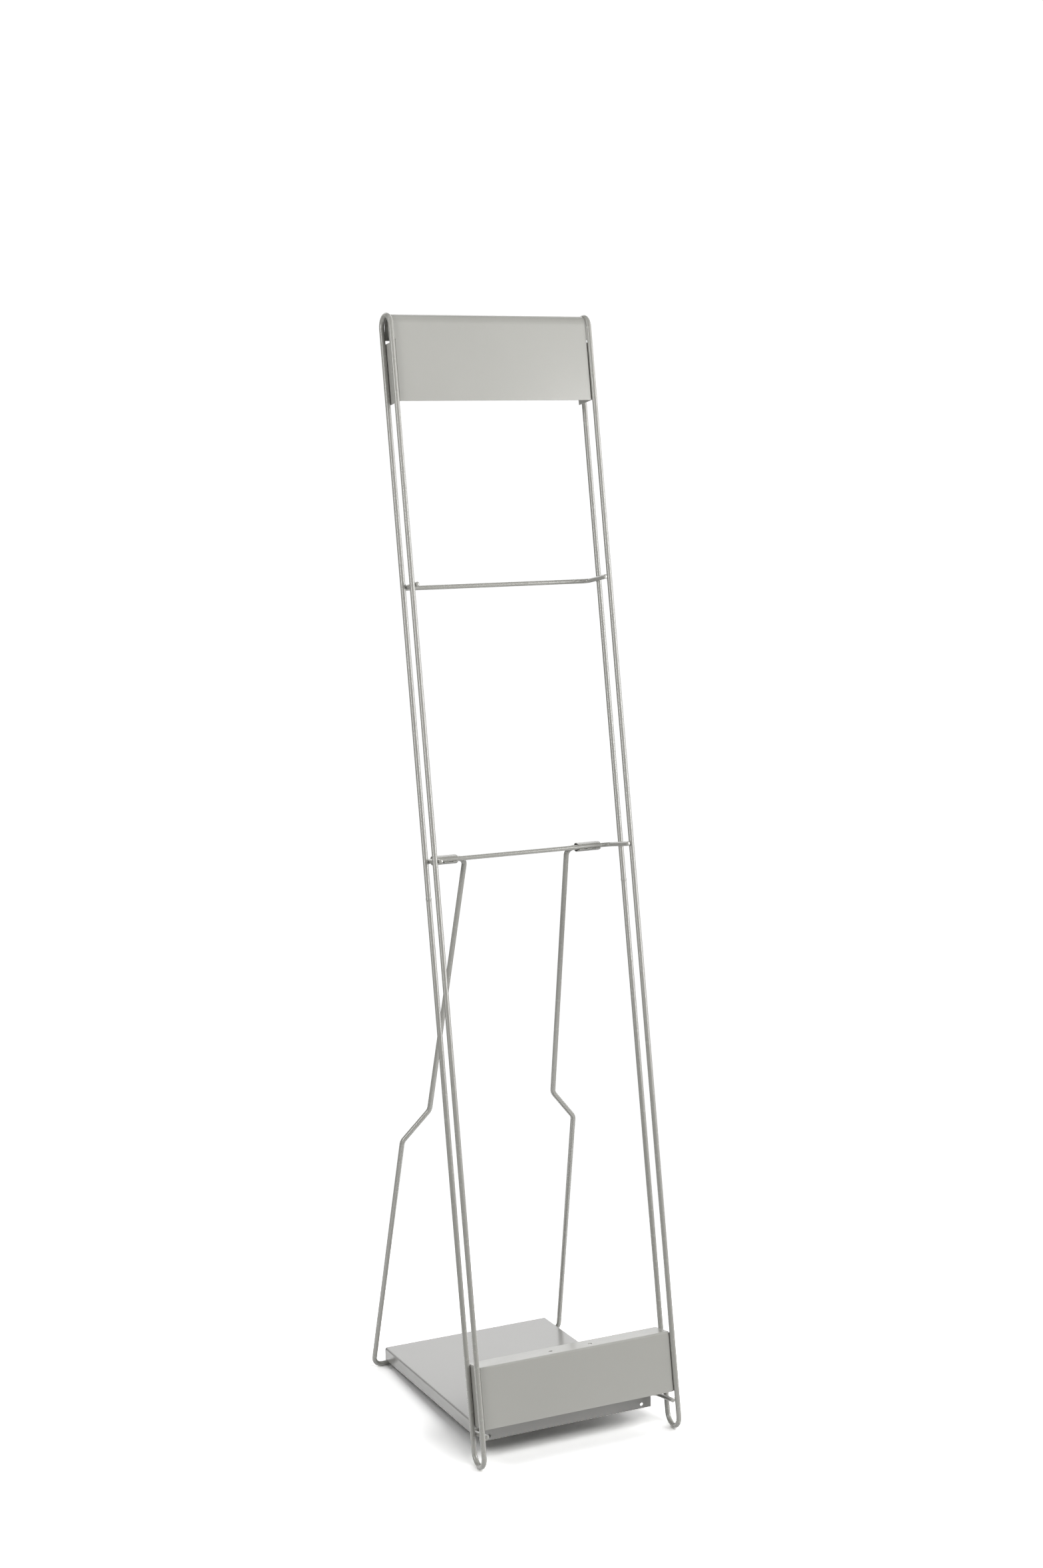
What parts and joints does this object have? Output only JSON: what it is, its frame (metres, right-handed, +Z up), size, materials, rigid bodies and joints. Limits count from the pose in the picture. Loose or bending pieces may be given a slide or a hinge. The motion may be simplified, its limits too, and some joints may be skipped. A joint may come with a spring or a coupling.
{
  "type": "folding newspaper rack",
  "caption": "Tall leaning newspaper rack of bent wire with a sign panel on top, a low front panel, a hinged paper tray and a folding rear leg.",
  "frame": {"origin": "on the floor, mid width, at the middle of the open footprint's depth", "axes": "+Z up, -Y the front that readers face, +X across from left to right as seen from the front"},
  "size_m": [0.3158, 0.3922, 1.5376],
  "materials": {
    "coated_wire": "satin",
    "coated_panel": "satin",
    "coated_tray": "satin"
  },
  "bodies": {
    "frame": {"side_loop_left": "coated_wire", "side_loop_right": "coated_wire", "crossbar_upper": "coated_wire", "crossbar_middle": "coated_wire", "crossbar_lower": "coated_wire", "header_panel": "coated_panel", "lower_panel": "coated_panel", "hinge_clip_left": "coated_wire", "hinge_clip_right": "coated_wire"},
    "leg": {"rear_leg": "coated_wire"},
    "tray": {"paper_tray": "coated_tray", "tray_strap_left": "coated_wire", "tray_strap_right": "coated_wire"}
  },
  "joints": [
    {"name": "tray_fold", "type": "hinge", "parent": "frame", "child": "tray", "pos_m": [0, -0.1347, 0.03514], "axis": [1, 0, 0], "range_deg": [0, 85]},
    {"name": "leg_fold", "type": "hinge", "parent": "frame", "child": "leg", "pos_m": [0, 0.02625, 0.79798], "axis": [-1, 0, 0], "range_deg": [0, 24]}
  ]
}
